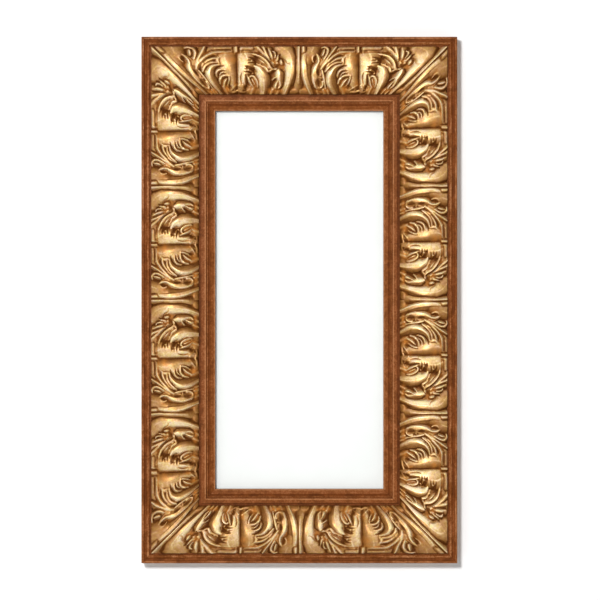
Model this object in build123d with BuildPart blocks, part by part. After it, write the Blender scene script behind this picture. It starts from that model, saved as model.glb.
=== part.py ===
"""Ornate gilded picture frame, upright, with its face towards -Y and its back towards the wall at y = 0.

Four mitred moulding sticks carry four gilded strips of acanthus relief. A clear sheet, a blank card and
a backing board sit in the rebate behind the sight edge, held by turn buttons. Two strap hangers with
D-rings carry the frame on the wall, and two bumpers keep its lower edge off it.
"""
from build123d import *
import os
from collections import namedtuple
from math import asin, atan2, cos, degrees, hypot, sin

# Opening of the frame as seen from the front
sight_w = 203.2
sight_h = 457.2

# Widths of the moulding's bands, from the outer edge to the sight edge
arris_w = 3.0
outer_cove_w = 3.2
outer_bead_w = 3.8
outer_quirk_w = 2.0
ornament_w = 57.2
inner_quirk_w = 2.8
fillet_w = 4.4
line_bead_w = 1.6
step_w = 1.0
small_bead_w = 1.4
sight_cove_w = 2.6
sight_flat_w = 4.4
sight_bead_w = 1.5

# Heights of the moulding: the outer arris above the back, then each band's rise or fall from the one before
arris_h = 30.0
outer_ledge_fall = 1.8
outer_bead_rise = 1.4
outer_quirk_fall = 1.8
seat_fall = 6.0
fillet_rise = 3.6
step_fall = 2.0
sight_flat_fall = 0.6
sight_edge_fall = 1.2

# Rise of the small rounded members, and depth of the hollow ones
arris_r = 1.6
outer_cove_depth = 1.3
line_bead_rise = 0.6
small_bead_rise = 0.5
sight_cove_depth = 1.2
sight_bead_rise = 0.6

# Rebate and the pack that lies in it
rebate_lip = 6.35
glazing_t = 2.4
card_t = 0.5
backing_t = 5.0
backing_setback = 0.4
pack_clearance = 0.8

# Gilded relief: a cushion with scrolls in repeats of about the nominal length
cushion_edge_t = 2.0
cushion_rise = 7.0
relief_sink = 1.6
repeat_nominal = 140.0
corner_strap_at = 43.7
strap_margin = 5.0
eye_r = 5.5
scroll_ring_r = 13.5
scroll_tube_r = 4.6
scroll_start = -70.0
scroll_sweep = 170.0
outer_leaf_ring_r = 26.0
outer_leaf_tube_r = 4.2
outer_leaf_start = -35.0
outer_leaf_sweep = 55.0
leaf_root_r = 5.0
leaf_tip_r = 1.6

# Places in a repeat, as shares of half a repeat from its seam and of the band's width from the outer quirk
eye_at = (0.26, 0.73)
seam_leaf = (0.60, 0.17)
side_leaves = [
    ((0.49, 0.38), (0.26, 0.17)),
    ((0.66, 0.31), (0.44, 0.10)),
    ((0.79, 0.87), (0.81, 0.24)),
]

# Nails across the mitres
nail_leg = 7.0
nail_t = 0.6
nail_h = 10.0
nail_spread = 120.0
nail_inset = 0.4
nail_first = 24.0
nail_pitch = 30.0
nail_clearance = 0.05

# Turn buttons
button_t = 1.0
button_reach = 22.0
button_root_r = 6.0
button_tip_r = 4.0
button_rib_w = 3.0
button_rib_h = 0.5
button_pivot_inset = 11.0
button_spacing = 300.0
button_gap = 0.1

# Screws: one pattern, with a length for each use
screw_shank_r = 1.75
screw_head_r = 3.4
screw_head_h = 1.8
screw_head_round = 0.9
screw_recess_l = 3.6
screw_recess_w = 0.9
screw_recess_depth = 1.0
screw_tip_l = 3.0
button_screw_l = 14.0
hanger_screw_l = 14.0
screw_clearance = 0.05
pivot_clearance = 0.1

# Strap hangers with D-rings
ring_wire_r = 1.2
ring_corner_r = 3.0
ring_side_gap = 0.5
ring_clearance = 0.1
strap_t = 0.9
strap_w = 11.0
strap_eye_wall = 1.1
strap_end_r = 5.0
strap_end_margin = 6.0
hanger_from_edge = 42.0
hanger_below_top = 211.0
hanger_screw_gap = 2.0
hanger_screw_pitch = 16.0

# Bumpers against the wall
bumper_r = 5.5
bumper_h = 5.0
bumper_round = 1.4
bumper_from_bottom = 20.0
bumper_from_side = 40.0

# Band limits, measured inwards from the outer edge
p_arris = arris_w
p_outer_bead = p_arris + outer_cove_w
p_outer_quirk = p_outer_bead + outer_bead_w
p_seat = p_outer_quirk + outer_quirk_w
p_seat_end = p_seat + ornament_w
p_fillet = p_seat_end + inner_quirk_w
p_line_bead = p_fillet + fillet_w
p_step = p_line_bead + line_bead_w
p_small_bead = p_step + step_w
p_sight_cove = p_small_bead + small_bead_w
p_sight_flat = p_sight_cove + sight_cove_w
p_sight_bead = p_sight_flat + sight_flat_w
moulding_w = p_sight_bead + sight_bead_w

# Band levels above the back
outer_ledge_h = arris_h - outer_ledge_fall
outer_bead_h = outer_ledge_h + outer_bead_rise
seat_outer_h = outer_ledge_h - outer_quirk_fall
seat_inner_h = seat_outer_h - seat_fall
fillet_h = seat_inner_h + fillet_rise
step_h = fillet_h - step_fall
sight_flat_h = step_h - sight_flat_fall
sight_edge_h = sight_flat_h - sight_edge_fall

frame_w = sight_w + 2 * moulding_w
frame_h = sight_h + 2 * moulding_w
rebate_depth = glazing_t + card_t + backing_t + backing_setback
p_rebate = moulding_w - rebate_lip
back_y = -bumper_h
front = Vector(0, -1, 0)
wallward = Vector(0, 1, 0)

Side = namedtuple("Side", "name outward along reach length")
sides = [
    Side("top", Vector(0, 0, 1), Vector(1, 0, 0), frame_h / 2, frame_w),
    Side("right", Vector(1, 0, 0), Vector(0, 0, -1), frame_w / 2, frame_h),
    Side("bottom", Vector(0, 0, -1), Vector(-1, 0, 0), frame_h / 2, frame_w),
    Side("left", Vector(-1, 0, 0), Vector(0, 0, 1), frame_w / 2, frame_h),
]
stick_names = {"top": "top_rail", "right": "right_stile", "bottom": "bottom_rail", "left": "left_stile"}


def place(side, s, p, d):
    """Point on a side: s along it, p inwards from its outer edge, d in front of its back."""
    across = side.outward * (side.reach - p)
    return Vector(0, back_y, 0) + across + side.along * (s - side.length / 2) + front * d


def section_plane(side):
    """Plane of a side's cross-section, with x inwards and y forwards."""
    return Plane(origin=place(side, side.length, 0, 0), x_dir=-side.outward, z_dir=-side.along)


def mitre_planes(side):
    """The planes through a side's two corners, with the side on their upper face."""
    return (
        Plane(origin=place(side, 0, 0, 0), z_dir=side.along + side.outward),
        Plane(origin=place(side, side.length, 0, 0), z_dir=side.outward - side.along),
    )


def save(part, name):
    """Label a finished piece and write it to its own file."""
    part.label = name
    export_step(part, f"parts/{name}.step")


def moulding_section(side):
    """Cross-section of a stick, with its beads, quirks, ornament seat and rebate."""
    with BuildSketch(section_plane(side)) as section:
        with BuildLine():
            Line((0, 0), (0, arris_h - arris_r))
            RadiusArc((0, arris_h - arris_r), (arris_r, arris_h), arris_r)
            Line((arris_r, arris_h), (p_arris, arris_h))
            ThreePointArc(
                (p_arris, arris_h),
                ((p_arris + p_outer_bead) / 2, (arris_h + outer_ledge_h) / 2 - outer_cove_depth),
                (p_outer_bead, outer_ledge_h),
            )
            ThreePointArc(
                (p_outer_bead, outer_ledge_h),
                ((p_outer_bead + p_outer_quirk) / 2, outer_bead_h),
                (p_outer_quirk, outer_ledge_h),
            )
            Polyline(
                (p_outer_quirk, outer_ledge_h),
                (p_outer_quirk, seat_outer_h),
                (p_seat, seat_outer_h),
                (p_seat_end, seat_inner_h),
                (p_fillet, seat_inner_h),
                (p_fillet, fillet_h),
                (p_line_bead, fillet_h),
            )
            ThreePointArc(
                (p_line_bead, fillet_h),
                ((p_line_bead + p_step) / 2, fillet_h + line_bead_rise),
                (p_step, fillet_h),
            )
            Polyline((p_step, fillet_h), (p_step, step_h), (p_small_bead, step_h))
            ThreePointArc(
                (p_small_bead, step_h),
                ((p_small_bead + p_sight_cove) / 2, step_h + small_bead_rise),
                (p_sight_cove, step_h),
            )
            ThreePointArc(
                (p_sight_cove, step_h),
                ((p_sight_cove + p_sight_flat) / 2, (step_h + sight_flat_h) / 2 - sight_cove_depth),
                (p_sight_flat, sight_flat_h),
            )
            Line((p_sight_flat, sight_flat_h), (p_sight_bead, sight_edge_h))
            ThreePointArc(
                (p_sight_bead, sight_edge_h),
                ((p_sight_bead + moulding_w) / 2, sight_edge_h + sight_bead_rise),
                (moulding_w, sight_edge_h),
            )
            Polyline(
                (moulding_w, sight_edge_h),
                (moulding_w, rebate_depth),
                (p_rebate, rebate_depth),
                (p_rebate, 0),
                (0, 0),
            )
        make_face()
    return section.sketch


# Cushion of the relief: an arc over the sloping seat
cushion_chord = hypot(ornament_w, seat_outer_h - seat_inner_h)
cushion_r = (cushion_chord**2 / 4 + cushion_rise**2) / (2 * cushion_rise)
seat_tilt = atan2(seat_outer_h - seat_inner_h, ornament_w)
cushion_crown = (
    p_seat + ornament_w / 2 + cushion_rise * sin(seat_tilt),
    (seat_outer_h + seat_inner_h) / 2 + cushion_edge_t + cushion_rise * cos(seat_tilt),
)
cushion_centre = (
    cushion_crown[0] - cushion_r * sin(seat_tilt),
    cushion_crown[1] - cushion_r * cos(seat_tilt),
)
relief_ceiling = cushion_crown[1] + 2 * eye_r


def cushion_section(side):
    """Cross-section of a strip: the seat below and the cushion's arc above."""
    outer_edge = (p_seat, seat_outer_h + cushion_edge_t)
    inner_edge = (p_seat_end, seat_inner_h + cushion_edge_t)
    with BuildSketch(section_plane(side)) as section:
        with BuildLine():
            ThreePointArc(outer_edge, cushion_crown, inner_edge)
            Polyline(inner_edge, (p_seat_end, seat_inner_h), (p_seat, seat_outer_h), outer_edge)
        make_face()
    return section.sketch


def relief_room(side):
    """Cross-section of the room for the relief: above the seat and between the two quirks."""
    with BuildSketch(section_plane(side)) as section:
        with BuildLine():
            Polyline(
                (p_seat, seat_outer_h),
                (p_seat, relief_ceiling),
                (p_seat_end, relief_ceiling),
                (p_seat_end, seat_inner_h),
                close=True,
            )
        make_face()
    return section.sketch


def cushion_plane(side, s, v):
    """Plane sunk a little into the cushion at s along a side and v inwards of its outer quirk, y outwards."""
    p = p_seat + v
    lean = asin((p - cushion_centre[0]) / cushion_r)
    normal = front * cos(lean) - side.outward * sin(lean)
    d = cushion_centre[1] + cushion_r * cos(lean)
    surface = Plane(origin=place(side, s, p, d), x_dir=side.along, z_dir=normal)
    return surface.offset(-relief_sink)


def scroll(side, centre, ring_r, tube_r, start, sweep_angle):
    """A C-scroll: part of a ring lying on the cushion round a centre given as (s, v)."""
    ring = Torus(ring_r, tube_r, major_angle=sweep_angle)
    return cushion_plane(side, *centre) * Rotation(0, 0, start) * ring


def leaf(side, root, tip):
    """A tapering leaf from root to tip, each given as (s, v)."""
    length = hypot(tip[0] - root[0], tip[1] - root[1])
    bearing = degrees(atan2(root[1] - tip[1], tip[0] - root[0]))
    middle = cushion_plane(side, (root[0] + tip[0]) / 2, (root[1] + tip[1]) / 2)
    return middle * Rotation(0, 0, bearing) * Rotation(0, 90, 0) * Cone(leaf_root_r, leaf_tip_r, length)


def half_repeat(side, seam, reach):
    """Scrolls and leaves on one hand of a repeat's seam; reach is half a repeat, negative to the left."""

    def spot(share):
        return (seam + reach * share[0], ornament_w * share[1])

    def turned(start, sweep_angle):
        return start if reach > 0 else 180 - start - sweep_angle

    eye = spot(eye_at)
    curl_start = turned(scroll_start, scroll_sweep)
    outer_start = turned(outer_leaf_start, outer_leaf_sweep)
    forms = [
        cushion_plane(side, *eye) * Sphere(eye_r),
        scroll(side, eye, scroll_ring_r, scroll_tube_r, curl_start, scroll_sweep),
        scroll(side, eye, outer_leaf_ring_r, outer_leaf_tube_r, outer_start, outer_leaf_sweep),
    ]
    return forms + [leaf(side, spot(root), spot(tip)) for root, tip in side_leaves]


def relief_forms(side):
    """Every scroll, leaf and strap of one side, in repeats that fill the run between its corner straps."""
    run = side.length - 2 * corner_strap_at
    count = max(1, round(run / repeat_nominal))
    repeat = run / count
    forms = []
    for index in range(count + 1):
        strap_s = corner_strap_at + index * repeat
        forms.append(leaf(side, (strap_s, ornament_w - strap_margin), (strap_s, strap_margin)))
    for index in range(count):
        seam = corner_strap_at + (index + 0.5) * repeat
        root, tip = [(seam, ornament_w * share) for share in seam_leaf]
        forms.append(leaf(side, root, tip))
        for hand in (-1, 1):
            forms += half_repeat(side, seam, hand * repeat / 2)
    return forms


def nail_outline(clearance):
    """V of two thin legs that open towards the sight edge."""
    for hand in (-1, 1):
        with Locations(Rotation(0, 0, hand * nail_spread / 2)):
            Rectangle(nail_leg + clearance, nail_t + 2 * clearance, align=(Align.MIN, Align.CENTER))


def pivot_plane(side, s):
    """Plane on the back of a stick at a turn button's pivot, with x towards the opening."""
    origin = place(side, s, p_rebate - button_pivot_inset, 0)
    return Plane(origin=origin, x_dir=-side.outward, z_dir=wallward)


def make_screws(seats, length, name):
    """Pan-head screws with cross recesses, one on each seat plane under its head."""
    top_planes = [seat.offset(screw_head_h) for seat in seats]
    with BuildPart(*seats) as screws:
        Cylinder(screw_head_r, screw_head_h, align=(Align.CENTER, Align.CENTER, Align.MIN))
        fillet(screws.edges().group_by(Axis.Y)[-1], screw_head_round)
        with BuildSketch(*top_planes):
            Rectangle(screw_recess_l, screw_recess_w)
            Rectangle(screw_recess_w, screw_recess_l)
        extrude(amount=-screw_recess_depth, mode=Mode.SUBTRACT)
        with BuildSketch(*seats):
            Circle(screw_shank_r)
        extrude(amount=screw_tip_l - length)
        with Locations((0, 0, -length)):
            Cone(0, screw_shank_r, screw_tip_l, align=(Align.CENTER, Align.CENTER, Align.MIN))
    save(screws.part, name)


# Nail places: two on the back of each mitre
nail_planes = []
for side in sides:
    mitre = side.along - side.outward
    for step in range(2):
        across = nail_first + step * nail_pitch
        nail_planes.append(Plane(origin=place(side, across, across, 0), x_dir=mitre, z_dir=wallward))

# Turn button places: the side of each button and how far along it the pivot lies
top, right, bottom, left = sides
button_places = {
    "top": (top, top.length / 2),
    "right_upper": (right, right.length / 2 - button_spacing / 2),
    "right_lower": (right, right.length / 2 + button_spacing / 2),
    "bottom": (bottom, bottom.length / 2),
    "left_lower": (left, left.length / 2 - button_spacing / 2),
    "left_upper": (left, left.length / 2 + button_spacing / 2),
}
button_seats = {name: pivot_plane(side, s) for name, (side, s) in button_places.items()}

# Hanger places: on the back of each stile below the ring's axis, with y up
ring_axis_h = ring_wire_r + ring_clearance + strap_eye_wall
ring_bar = strap_w + 2 * ring_side_gap
ring_w = ring_bar + 2 * ring_corner_r
ring_drop = ring_corner_r + ring_w / 2
hanger_screw_first = ring_drop + ring_wire_r + hanger_screw_gap + screw_head_r
strap_l = hanger_screw_first + hanger_screw_pitch + strap_end_margin
hanger_planes = {}
for name, hand in (("left", -1), ("right", 1)):
    at = (hand * (frame_w / 2 - hanger_from_edge), back_y, frame_h / 2 - hanger_below_top)
    hanger_planes[name] = Plane(origin=at, x_dir=(-1, 0, 0), z_dir=wallward)
hanger_screw_seats = []
for plane in hanger_planes.values():
    for step in range(2):
        down = hanger_screw_first + step * hanger_screw_pitch
        hanger_screw_seats.append(Plane(plane.location * Location((0, -down, 0))))

os.makedirs("parts", exist_ok=True)

# Mitred sticks of stained wood
for side in sides:
    with BuildPart() as stick:
        extrude(moulding_section(side), amount=side.length)
        for plane in mitre_planes(side):
            split(bisect_by=plane, keep=Keep.TOP)
        with BuildSketch(*nail_planes):
            nail_outline(nail_clearance)
        extrude(amount=-(nail_inset + nail_h), mode=Mode.SUBTRACT)
        with Locations(*button_seats.values()):
            Hole(screw_shank_r + screw_clearance, button_screw_l)
        with Locations(*hanger_screw_seats):
            Hole(screw_shank_r + screw_clearance, hanger_screw_l)
    save(stick.part, stick_names[side.name])

# Gilded relief strips: the bottom and right ones are the top and left ones turned half round
for side, opposite in ((top, bottom), (left, right)):
    forms = relief_forms(side)
    with BuildPart() as relief:
        extrude(cushion_section(side), amount=side.length)
        add(forms)
        extrude(relief_room(side), amount=side.length, mode=Mode.INTERSECT)
        for plane in mitre_planes(side):
            split(bisect_by=plane, keep=Keep.TOP)
    save(relief.part, f"{side.name}_relief")
    with BuildPart() as turned_relief:
        add(relief.part, rotation=(0, 180, 0))
    save(turned_relief.part, f"{opposite.name}_relief")

# Nails across the mitres, driven in from the back
with BuildPart() as nails:
    with BuildSketch(*[plane.offset(-nail_inset) for plane in nail_planes]):
        nail_outline(0)
    extrude(amount=-nail_h)
save(nails.part, "corner_nails")

# Clear sheet, blank card and backing board, stacked from the lip of the rebate to the back
pack_w = frame_w - 2 * (p_rebate + pack_clearance)
pack_h = frame_h - 2 * (p_rebate + pack_clearance)
pack_front = back_y - rebate_depth
for name, thickness in (("glazing", glazing_t), ("insert_card", card_t), ("backing_board", backing_t)):
    with BuildPart() as board:
        with BuildSketch(Plane(origin=(0, pack_front, 0), x_dir=(1, 0, 0), z_dir=wallward)):
            Rectangle(pack_w, pack_h)
        extrude(amount=thickness)
    save(board.part, name)
    pack_front += thickness

# Turn buttons: a flat tapered plate with a pressed rib, loose on its screw
rib_start = screw_head_r + button_rib_w / 2
rib_end = button_reach - button_tip_r
for name, seat in button_seats.items():
    under = seat.offset(button_gap)
    with BuildPart() as button:
        with BuildSketch(under):
            Circle(button_root_r)
            with Locations((button_reach - button_tip_r, 0)):
                Circle(button_tip_r)
            make_hull()
        extrude(amount=button_t)
        with BuildSketch(under.offset(button_t)):
            with Locations(((rib_start + rib_end) / 2, 0)):
                SlotOverall(rib_end - rib_start + button_rib_w, button_rib_w)
        extrude(amount=button_rib_h)
        with Locations(under):
            Hole(screw_shank_r + pivot_clearance)
    save(button.part, f"turn_button_{name}")

# Screws: those of the buttons stand off by the plate's thickness and its play
button_heads = [seat.offset(button_t + 2 * button_gap) for seat in button_seats.values()]
make_screws(button_heads, button_screw_l, "turn_button_screws")
make_screws([seat.offset(strap_t) for seat in hanger_screw_seats], hanger_screw_l, "hanger_screws")

# Strap hangers: a plate with a rolled eye, and the D-ring that hangs in it
for name, plane in hanger_planes.items():
    axis_plane = plane.offset(ring_axis_h)
    eye_plane = Plane(origin=axis_plane.origin, x_dir=axis_plane.y_dir, z_dir=axis_plane.x_dir)
    with BuildPart() as hanger:
        with BuildSketch(plane):
            with Locations((0, -strap_l / 2)):
                Rectangle(strap_w, strap_l)
        extrude(amount=strap_t)
        fillet(hanger.edges().filter_by(Axis.Y).group_by(Axis.Z)[0], strap_end_r)
        with BuildSketch(eye_plane):
            Circle(ring_axis_h)
        extrude(amount=strap_w / 2, both=True)
        with BuildSketch(eye_plane):
            Circle(ring_wire_r + ring_clearance)
        extrude(amount=strap_w / 2, both=True, mode=Mode.SUBTRACT)
        with Locations(*hanger_screw_seats):
            Hole(screw_shank_r + screw_clearance)
    save(hanger.part, f"{name}_hanger")

    with BuildPart() as ring:
        with BuildLine(axis_plane) as ring_path:
            Line((0, 0), (ring_bar / 2, 0))
            RadiusArc((ring_bar / 2, 0), (ring_w / 2, -ring_corner_r), ring_corner_r)
            ThreePointArc((ring_w / 2, -ring_corner_r), (0, -ring_drop), (-ring_w / 2, -ring_corner_r))
            RadiusArc((-ring_w / 2, -ring_corner_r), (-ring_bar / 2, 0), ring_corner_r)
            Line((-ring_bar / 2, 0), (0, 0))
        with BuildSketch(eye_plane):
            Circle(ring_wire_r)
        sweep(path=ring_path.wire())
    save(ring.part, f"{name}_ring")

# Bumpers on the back of the bottom rail
for name, hand in (("left", -1), ("right", 1)):
    at = (hand * (frame_w / 2 - bumper_from_side), back_y, bumper_from_bottom - frame_h / 2)
    with BuildPart(Plane(origin=at, x_dir=(1, 0, 0), z_dir=wallward)) as bumper:
        Cylinder(bumper_r, bumper_h, align=(Align.CENTER, Align.CENTER, Align.MIN))
        fillet(bumper.edges().group_by(Axis.Y)[-1], bumper_round)
    save(bumper.part, f"{name}_bumper")
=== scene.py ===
"""Looks of an upright gilded picture frame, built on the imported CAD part.

Stained sticks, a carved and gilded band, the picture pack, the back's hardware and a plain white studio.
"""

import math
from collections import namedtuple

import bpy
import numpy as np
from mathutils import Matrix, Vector


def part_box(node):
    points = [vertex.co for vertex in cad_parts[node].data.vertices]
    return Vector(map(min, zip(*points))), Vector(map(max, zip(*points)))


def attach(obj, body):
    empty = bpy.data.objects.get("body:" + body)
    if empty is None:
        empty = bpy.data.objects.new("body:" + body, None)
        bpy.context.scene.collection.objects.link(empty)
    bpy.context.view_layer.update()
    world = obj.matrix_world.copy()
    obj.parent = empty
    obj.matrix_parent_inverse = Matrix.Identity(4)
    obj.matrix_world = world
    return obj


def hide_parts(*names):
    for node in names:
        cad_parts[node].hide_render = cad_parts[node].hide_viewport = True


bl_info = {
    "name": "Gilded Picture Frame",
    "version": (1, 0, 0),
    "blender": (4, 5, 0),
    "location": "View3D > Sidebar > Picture Frame",
    "description": "Carves, gilds and stains a picture frame around its packed CAD part",
    "category": "Object",
}

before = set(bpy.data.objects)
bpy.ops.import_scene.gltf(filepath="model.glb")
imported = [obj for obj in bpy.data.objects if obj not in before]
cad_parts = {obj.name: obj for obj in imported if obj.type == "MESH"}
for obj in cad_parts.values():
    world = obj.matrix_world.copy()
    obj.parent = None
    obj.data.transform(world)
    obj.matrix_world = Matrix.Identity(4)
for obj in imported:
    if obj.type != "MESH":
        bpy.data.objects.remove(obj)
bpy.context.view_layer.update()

MM = 0.001
ROOT_BODY = "frame"

# Outline and levels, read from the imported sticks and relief
RAIL_LOW, RAIL_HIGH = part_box("top_rail")
BAND_LOW, BAND_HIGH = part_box("top_relief")
HALF_WIDTH = RAIL_HIGH.x
HALF_HEIGHT = RAIL_HIGH.z
BACK_Y = RAIL_HIGH.y
FRONT_Y = RAIL_LOW.y
STICK_WIDTH = RAIL_HIGH.z - RAIL_LOW.z
BAND_OUTER = HALF_HEIGHT - BAND_HIGH.z
BAND_INNER = HALF_HEIGHT - BAND_LOW.z

Side = namedtuple("Side", "name outward along reach length")
SIDES = (
    Side("top", (0, 1), (1, 0), HALF_HEIGHT, 2 * HALF_WIDTH),
    Side("right", (1, 0), (0, -1), HALF_WIDTH, 2 * HALF_HEIGHT),
    Side("bottom", (0, -1), (-1, 0), HALF_HEIGHT, 2 * HALF_WIDTH),
    Side("left", (-1, 0), (0, 1), HALF_WIDTH, 2 * HALF_HEIGHT),
)

# Carved forms on both sides of a seam, then those before it and those after it: runs of
# (from the seam, from the outer edge, half width, height) in mm, laid over each other in this order
HALF_REPEAT = 68.5
CARVED_FORMS = {
    "crown_bed": [(2, 16, 5, 0.3), (12, 16, 5, 0.6), (22, 17, 5, 1)],
    "finger_bed": [(19, 27, 4, 0.4), (27, 31, 5.5, 1), (35, 38, 5, 1.6)],
    "eye_bed": [(13, 44, 6, 0.8), (16, 53, 7, 0.6), (20, 63, 7, 0.4)],
    "foot_bed": [(4, 66, 4, 0.2), (20, 66, 6, 0.6), (40, 66, 5.5, 0.7), (54, 67, 5, 0.3),
                 (66, 66, 4.5, 0.2)],
    "mound": [(68.5, 12, 5, 0.6), (68.5, 30, 5.4, 1.6), (68.5, 46, 5.4, 1.2), (68.5, 62, 5, 0)],
    "strap": [(68.5, 11.5, 2, 2.2), (68.5, 26, 1.9, 2.9), (68.5, 38, 1.9, 2.8), (68.5, 47, 2.3, 2.1),
              (68.5, 56, 3.2, 1)],
    "root_1": [(19.4, 61, 3, 1.5), (17.6, 65, 3.4, 1.3), (16.4, 69, 3.6, 1)],
    "root_2": [(36, 62, 1.8, 1.6), (34.6, 66, 2.4, 1.7), (33.6, 69.4, 2.6, 1.4)],
    "root_3": [(40, 64, 2.6, 1.7), (37.6, 69, 3.4, 1.4)],
    "root_4": [(0, 65.2, 2, 1.2), (4.6, 66.8, 2.2, 1.1), (9, 67, 1.8, 0.8)],
    "root_5": [(46.8, 65.2, 2.4, 1.3), (44.6, 69, 3, 1.2)],
    "root_6": [(2, 58.6, 1.8, 1.6), (5.2, 61.4, 2.2, 1.7), (9, 63.6, 1.6, 1.1)],
    "pilaster": [(0, 11, 2.1, 2), (0, 18.5, 1.9, 1.8)],
}

BEFORE_SEAM_FORMS = {
    "flare_tip": [(63, 12.4, 3.4, 2), (62.6, 17.6, 3.8, 2.6)],
    "cluster_bed": [(35, 25, 4, 0.6), (40, 30, 4.6, 1.4), (43.6, 34, 4.4, 2.2)],
    "dome": [(17.1, 34.3, 1.2, 2.2), (21.5, 35.5, 2.2, 2.8), (25.5, 38, 3.6, 3.8), (29.2, 42.4, 5.6, 4.6),
             (31.2, 48.8, 6.8, 5.1), (30.5, 56, 6.8, 4.9), (28, 62.4, 5.8, 4.1), (25, 68.6, 4.8, 2.9)],
    "vein": [(7, 20, 1.4, 1.4), (14, 19.6, 1.9, 1.9), (21, 21, 2.6, 2.5), (27.6, 25, 3.2, 3.1),
             (33, 29.8, 3.5, 3.5), (38.6, 35, 3.2, 3.4), (42, 39.4, 2.2, 2.7)],
    "vein_leaf": [(21.6, 21, 1.2, 1.9), (18, 22, 1.4, 2), (14.8, 23.6, 1, 1.5)],
    "finger_1": [(17.4, 26.6, 1.6, 2), (22, 27.4, 2.7, 2.4), (26.6, 29.2, 3.2, 2.7), (31, 32.2, 3, 2.8),
                 (35, 36.4, 2.2, 2.5)],
    "finger_2": [(19.6, 31.8, 1.5, 1.9), (24.2, 32.4, 2.3, 2.3), (28.8, 34.6, 2.6, 2.6),
                 (33, 38, 2.5, 2.7), (37.4, 42.6, 1.8, 2.3)],
    "tip_1": [(24.6, 11.6, 1.5, 2.8), (27, 15.8, 2.1, 3.3), (30.2, 21, 2.3, 3.3), (34, 26, 2.1, 3.2),
              (37.6, 30.6, 1.6, 2.9), (41.4, 36, 1.1, 2.6)],
    "hook": [(41.4, 13.4, 1.3, 2.4), (38.2, 13.2, 2, 3), (35, 15.4, 2.3, 3.4), (34.6, 19.2, 2.3, 3.4),
             (36.6, 23.6, 2, 3.1), (39.6, 28, 1.3, 2.6)],
    "hook_leaf": [(39, 15.8, 1.2, 2), (39.4, 19.2, 2, 2.6), (40.8, 23, 1.4, 2.2)],
    "shell_thorn": [(46, 22, 0.9, 1.6), (43.6, 24.8, 1.2, 2.3), (42, 28, 1.1, 2.4)],
    "eye_arc_1": [(12.9, 40.5, 1.2, 2.1), (17.1, 40.5, 1.9, 2.6), (20.9, 41.9, 2.2, 2.8),
                  (23.5, 45.5, 2.2, 2.5), (24.3, 50.3, 1.5, 1.8)],
    "eye_arc_2": [(13.3, 43.5, 0.9, 1.9), (16.1, 43.5, 1.2, 2.3), (18.5, 44.7, 1.2, 2.2),
                  (20.1, 46.9, 0.8, 1.6)],
    "eye_arc_3": [(9.5, 48.3, 1.4, 2.4), (13.5, 47.7, 1.9, 2.8), (17.9, 48.7, 2.2, 3.1),
                  (20.9, 51.5, 2.2, 2.9), (22.5, 56.5, 1.7, 2)],
    "eye_leaf": [(12.6, 50.6, 1.2, 2), (15.4, 54, 2, 2.5), (18.8, 59.4, 2.2, 2.2)],
    "eye_stem": [(9.4, 47.6, 1.2, 2.5), (9.8, 52, 1.3, 2.6), (11.6, 56.8, 1.2, 2.2)],
    "lintel_1": [(5, 14.2, 1.9, 0.9), (17, 14.6, 1.9, 1.1)],
    "lintel_2": [(4.8, 18.8, 1, 1), (13, 18.4, 1, 1.3)],
    "shell_rim": [(51.4, 41, 2.2, 3.8), (52.4, 47, 2.2, 3.9), (52, 53, 2.1, 3.8), (50.2, 58.6, 2, 3.6),
                  (46.6, 62.2, 1.9, 3.3), (42.6, 61.6, 1.8, 3.1), (40.6, 58.2, 1.7, 3),
                  (41, 54.6, 1.4, 2.8)],
    "shell_bar": [(50, 49.4, 1.3, 3.3), (46.4, 49.8, 1.3, 3.1), (42.4, 50.4, 1.4, 2.9)],
    "inner_lip": [(42, 40, 1.6, 2.5), (40.4, 46, 1.9, 3), (39.2, 52, 1.9, 3.1), (38.2, 57.5, 1.8, 2.8),
                  (37, 63, 1.5, 2)],
    "fan": [(52.2, 11, 11, 1.2), (53.2, 16, 11, 1.7), (55, 21, 9.6, 2)],
    "low_panel": [(9, 22, 8.6, 0.9), (10.6, 27, 10.4, 2.1), (10.4, 32, 10.4, 2.4), (9.4, 38, 9.6, 2.6),
                  (7.8, 44, 8.4, 2.4), (6.4, 50, 6.6, 2), (5.4, 57, 5.2, 1.6), (5, 63, 4.4, 1)],
    "shell_tip": [(47.4, 21, 1.4, 1.9), (45.2, 26.6, 2, 2.6), (45.8, 32, 2.3, 3.1), (48.8, 36.5, 2.6, 3.5),
                  (51.4, 41, 2.4, 3.8)],
    "well_ring": [(49.4, 22.4, 0.9, 2.2), (52, 24.4, 1.1, 2.6), (52.6, 27.6, 1.1, 2.6),
                  (51.2, 31, 1, 2.5)],
    "fan_root": [(57, 22, 9, 1.9), (58.4, 26, 8.6, 2.3), (59.4, 31, 7.6, 3)],
    "panel_lobe": [(16, 25.4, 2.2, 2), (17.6, 28.4, 3, 2.4), (17, 31.8, 2.4, 2.2)],
    "tube": [(60, 25, 5.4, 1.9), (60.2, 31, 6.2, 3), (59.6, 38, 6.8, 3.9), (58.6, 46, 6.6, 4),
             (56.6, 54, 6.2, 3.7), (54, 61.5, 5.2, 3.1), (51, 69.5, 4.6, 2.1)],
    "shell": [(46, 36, 5, 2.6), (47.8, 41, 6.2, 3.5), (47.8, 47, 6.6, 3.8), (47.2, 53, 6.6, 3.7),
              (46, 58.5, 5.2, 3.2), (44.4, 61.6, 3.4, 2.6)],
}

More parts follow.
